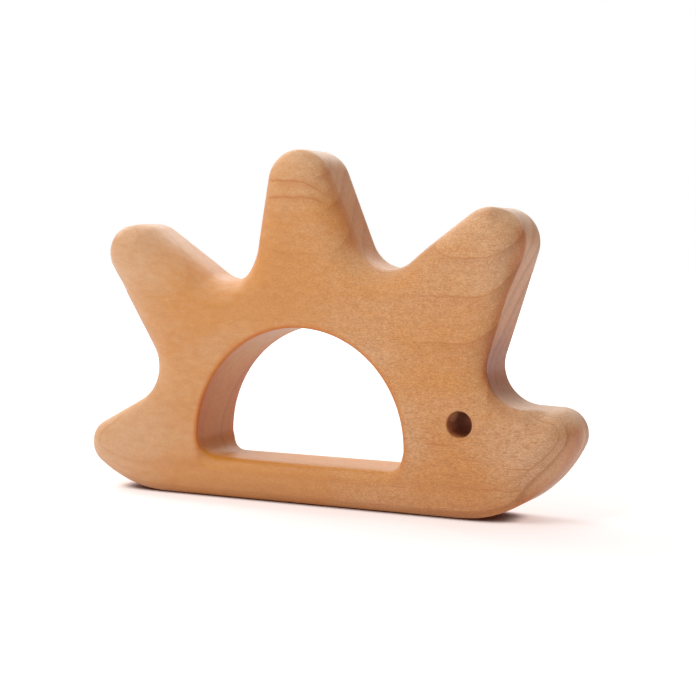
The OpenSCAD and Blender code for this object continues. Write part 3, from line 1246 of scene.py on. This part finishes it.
        # Painted shade on the window's rounded rim.
        colour = wiring.toned(wiring.attribute("rim_tone"), colour, self.rim)
        of_flecks, of_lines = self.relief
        wiring.fill(leave, {
            "Colour": wiring.blend(lines, colour, self.line),
            "Roughness": wiring.ramp(streaks, *self.roughness),
            "Relief": wiring.less(wiring.product(flecks, of_flecks), wiring.product(lines, of_lines)),
        })
        return wiring.tree


@dataclass(frozen=True)
class Oiled:
    """The oiled, satin finish of the outside."""

    bump: tuple[float, float] = (0.25, 0.00015)

    def material(self, grain: Tree) -> Material:
        """The finish on the wood."""
        made, wiring, shader = new_material("oiled_hardwood")
        place = wiring.node("ShaderNodeTexCoord")
        wood = wiring.placed(grain, {"Point": place.outputs["Object"]})
        wiring.fill(shader, {
            "Base Color": wood.outputs["Colour"],
            "Roughness": wood.outputs["Roughness"],
            "Normal": wiring.bump(wood.outputs["Relief"], *self.bump),
            "IOR": 1.5,
            "Specular IOR Level": 0.5,
            "Coat Weight": 0.04,
            "Coat Roughness": 0.30,
            "Sheen Weight": 0.22,
            "Sheen Roughness": 0.40,
        })
        return made


@dataclass(frozen=True)
class Drilled:
    """The dark, dull wall of the drilled eye: the same wood, cut across its grain, with painted shade.

    Fine turns of the drill run round it, as the sine of the depth plus noise, with painted shade
    in their grooves, and a patch of torn grain near the front mouth is paler.
    """

    # Darker end grain with painted shade, laid over the whole bore.
    stain: Colour = (0.66, 0.26, 0.11, 1.0)
    stained: float = 0.6
    # Painted shade in the grooves between the drill's turns.
    groove: Colour = (0.16, 0.045, 0.02, 1.0)
    grooved: Step = (0.0, 1.2, 0.45, 0.0)
    torn: Colour = (0.80, 0.50, 0.28, 1.0)
    torn_scale: Triple = (1.0, 0.5, 0.9)
    torn_shift: Triple = (-34.3, 2.6, -20.6)
    torn_fall: Step = (1.2, 1.9, 0.9, 0.0)
    turn_rate: float = 9.0
    turn_height: float = 0.5
    rough: Texture = Texture((1.2, 2.5, 1.2), 6.0)
    bump: tuple[float, float] = (0.6, 0.0002)

    def material(self, grain: Tree) -> Material:
        """The finish on the wood."""
        made, wiring, shader = new_material("drilled_hardwood")
        place = wiring.node("ShaderNodeTexCoord")
        wood = wiring.placed(grain, {"Point": place.outputs["Object"]})
        point = wiring.stretched(place.outputs["Object"], TO_MILLIMETRES)
        turns = wiring.maths(Op.SINE, wiring.product(wiring.parts(point)[1], self.turn_rate))
        rough = wiring.noise(point, self.rough)
        ridge = wiring.total(wiring.product(turns, self.turn_height), rough)
        # Darker end grain and painted shade over the bore's wall.
        colour = wiring.blend(self.stained, wood.outputs["Colour"], self.stain)
        # Painted shade in the grooves between the drill's turns.
        colour = wiring.blend(wiring.ramp(ridge, *self.grooved), colour, self.groove)
        span = wiring.length(wiring.stretched(point, self.torn_scale, self.torn_shift))
        torn = wiring.ramp(wiring.total(span, rough), *self.torn_fall)
        wiring.fill(shader, {
            "Base Color": wiring.blend(torn, colour, self.torn),
            "Normal": wiring.bump(ridge, *self.bump),
            "Roughness": 0.7,
            "Specular IOR Level": 0.15,
        })
        return made


@dataclass(frozen=True)
class Lamp:
    """A square area lamp that faces the figure. Its place and sizes are in metres."""

    name: str
    place: Triple
    size: float
    power: float
    colour: Triple = (1.0, 1.0, 1.0)
    mirrored: bool = False
    target: Triple = (0.0, 0.0, 0.03)

    def build(self) -> None:
        """Adds the lamp, and says whether gloss mirrors it."""
        light = bpy.data.lights.new(self.name, "AREA")
        light.size = self.size
        light.energy = self.power
        light.color = self.colour
        lamp = bpy.data.objects.new(self.name, light)
        lamp.visible_glossy = self.mirrored
        bpy.context.scene.collection.objects.link(lamp)
        aim = (Vector(self.target) - Vector(self.place)).to_track_quat("-Z", "Y")
        lamp.matrix_world = Matrix.Translation(Vector(self.place)) @ aim.to_matrix().to_4x4()


@dataclass(frozen=True)
class Studio:
    """A plain pale floor, a white surround and three soft lamps: in front, beside and behind.

    The floor glows less near the figure and in reflections, so that shadows show. Near the
    figure its glow is tinted warm, a painted warm bounce, and its crevice under the figure is
    painted dark, a painted contact shade. The surround's steps follow the direction that is seen.
    """

    floor_half: float = 3.0
    # Painted warm bounce: the floor's glow near the figure, and so its shadow, is tinted warm.
    floor_warm: Colour = (1.0, 0.82, 0.79, 1.0)
    floor_grey: Colour = (0.60, 0.60, 0.60, 1.0)
    # Painted contact shade: dark brown in the crevice under the figure.
    floor_crevice: Colour = (0.14, 0.06, 0.03, 1.0)
    near_reach: Step = (0.10, 0.60)
    near_glow: float = 0.03
    seen_glow: float = 0.43
    far_glow: float = 0.90
    mirrored_loss: float = 0.30
    bounce: float = 0.52
    crevice_size: float = 0.005
    crevice_samples: int = 8
    crevice_opens: Step = (0.15, 0.55)
    ambient_back: Step = (-0.2, 0.8, 0.10, 0.62)
    ambient_right: Step = (0.0, 0.9, 0.0, 0.02)
    ambient_left: Step = (-0.9, 0.0, 0.05, 0.0)
    ambient_top: Step = (0.35, 0.9, 0.0, 0.70)
    mirrored_back: Step = (0.2, 0.8)
    mirrored_top: Step = (0.2, 0.7)
    mirrored_left: Step = (-0.4, 0.3, 1.15, 0.30)
    mirrored_least: float = 0.26
    lamps: tuple[Lamp, ...] = (
        Lamp("front_softbox", (-0.22, -0.40, 0.54), 0.35, 2.55, (1.0, 0.985, 0.965)),
        Lamp("side_softbox", (-0.40, 0.17, 0.34), 0.25, 1.7),
        Lamp("back_softbox", (-0.15, 0.44, 0.42), 0.35, 0.45, mirrored=True),
    )

    def build(self) -> None:
        """Adds the floor, the world and the lamps."""
        self.floor()
        self.world()
        for lamp in self.lamps:
            lamp.build()

    def floor(self) -> None:
        """A square floor that keeps the figure's shadow and is white where nothing shades it."""
        half = self.floor_half
        mesh = bpy.data.meshes.new("floor")
        corners = [(-half, -half, 0.0), (half, -half, 0.0), (half, half, 0.0), (-half, half, 0.0)]
        mesh.from_pydata(corners, [], [(0, 1, 2, 3)])
        floor = bpy.data.objects.new("floor", mesh)
        bpy.context.scene.collection.objects.link(floor)
        made, wiring, shader = new_material("pale_floor")
        path = wiring.node("ShaderNodeLightPath").outputs
        camera, glossy = path["Is Camera Ray"], path["Is Glossy Ray"]
        span = wiring.length(wiring.node("ShaderNodeTexCoord").outputs["Object"])
        near = wiring.total(wiring.product(camera, self.seen_glow), self.near_glow)
        far = wiring.less(self.far_glow, wiring.product(glossy, self.mirrored_loss))
        # Painted contact shade: in the crevice under the figure the floor turns dark and loses its glow.
        crevice = wiring.node("ShaderNodeAmbientOcclusion", samples=self.crevice_samples)
        wiring.fill(crevice, {"Distance": self.crevice_size})
        opened = wiring.ramp(crevice.outputs["AO"], *self.crevice_opens)
        seen = wiring.largest(camera, glossy, path["Is Transmission Ray"])
        glow = wiring.product(seen, wiring.ramp(span, *self.near_reach, near, far), opened)
        bounce = wiring.product(path["Is Diffuse Ray"], self.bounce)
        wiring.fill(shader, {
            "Base Color": wiring.blend(opened, self.floor_crevice, self.floor_grey),
            "Roughness": 1.0,
            "Specular IOR Level": 0.0,
            # Painted warm bounce: the glow is tinted warm near the figure.
            "Emission Color": wiring.blend(wiring.ramp(span, *self.near_reach), self.floor_warm, WHITE),
            "Emission Strength": wiring.total(glow, bounce),
        })
        floor.data.materials.append(made)

    def world(self) -> None:
        """A surround that lights evenly and is plain white to the camera and in reflections."""
        world = bpy.data.worlds.new("white_surround")
        bpy.context.scene.world = world
        world.use_nodes = True
        wiring = Wiring(world.node_tree)
        path = wiring.node("ShaderNodeLightPath").outputs
        glossy = path["Is Glossy Ray"]
        x, y, z = wiring.parts(wiring.node("ShaderNodeTexCoord").outputs["Generated"])
        ambient = wiring.total(
            wiring.ramp(y, *self.ambient_back),
            wiring.ramp(x, *self.ambient_right),
            wiring.ramp(x, *self.ambient_left),
            wiring.ramp(z, *self.ambient_top),
        )
        ambient = wiring.product(ambient, wiring.less(1.0, glossy))
        mirrored = wiring.largest(wiring.ramp(y, *self.mirrored_back), wiring.ramp(z, *self.mirrored_top))
        mirrored = wiring.product(mirrored, wiring.ramp(x, *self.mirrored_left))
        mirrored = wiring.product(wiring.largest(mirrored, self.mirrored_least), glossy)
        seen = wiring.largest(path["Is Camera Ray"], path["Is Transmission Ray"], mirrored)
        background = world.node_tree.nodes["Background"]
        wiring.fill(background, {"Color": WHITE, "Strength": wiring.largest(ambient, seen)})


@dataclass(frozen=True)
class Viewpoint:
    """The camera, at the photograph's angle and distance. Angles are in degrees."""

    azimuth: float = 24.79
    elevation: float = 4.02
    roll: float = 0.73
    focal_pixels: float = 1474.5
    distance: float = 348.4
    target: Triple = (5.25, 0.0, 36.97)
    sensor: float = 36.0
    clip: tuple[float, float] = (0.01, 20.0)

    def build(self) -> None:
        """Adds the camera and makes it the scene's."""
        azimuth, elevation, roll = (math.radians(a) for a in (self.azimuth, self.elevation, self.roll))
        level = math.cos(elevation)
        back = Vector((math.sin(azimuth) * level, -math.cos(azimuth) * level, math.sin(elevation)))
        right = Vector((math.cos(azimuth), math.sin(azimuth), 0.0))
        up = right.cross(-back)
        across = math.cos(roll) * right + math.sin(roll) * up
        upright = math.cos(roll) * up - math.sin(roll) * right
        lens = bpy.data.cameras.new("camera")
        lens.sensor_width = self.sensor
        lens.lens = self.sensor * self.focal_pixels / IMAGE_SIZE
        lens.clip_start, lens.clip_end = self.clip
        camera = bpy.data.objects.new("camera", lens)
        bpy.context.scene.collection.objects.link(camera)
        turn = Matrix((across, upright, back)).transposed().to_4x4()
        place = (Vector(self.target) + self.distance * back) * MM
        camera.matrix_world = Matrix.Translation(place) @ turn
        bpy.context.scene.camera = camera


def main() -> None:
    """Builds the figure, its surroundings and the camera."""
    grain = Hardwood().grain_group()
    figure = Carving().build()
    for finish in (Oiled(), Drilled()):
        figure.data.materials.append(finish.material(grain))
    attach(figure, "root")
    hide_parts("hedgehog_body")
    Studio().build()
    Viewpoint().build()
    bpy.context.scene.view_settings.view_transform = "Standard"


if __name__ == "__main__":
    logging.basicConfig(level=logging.INFO)
    main()
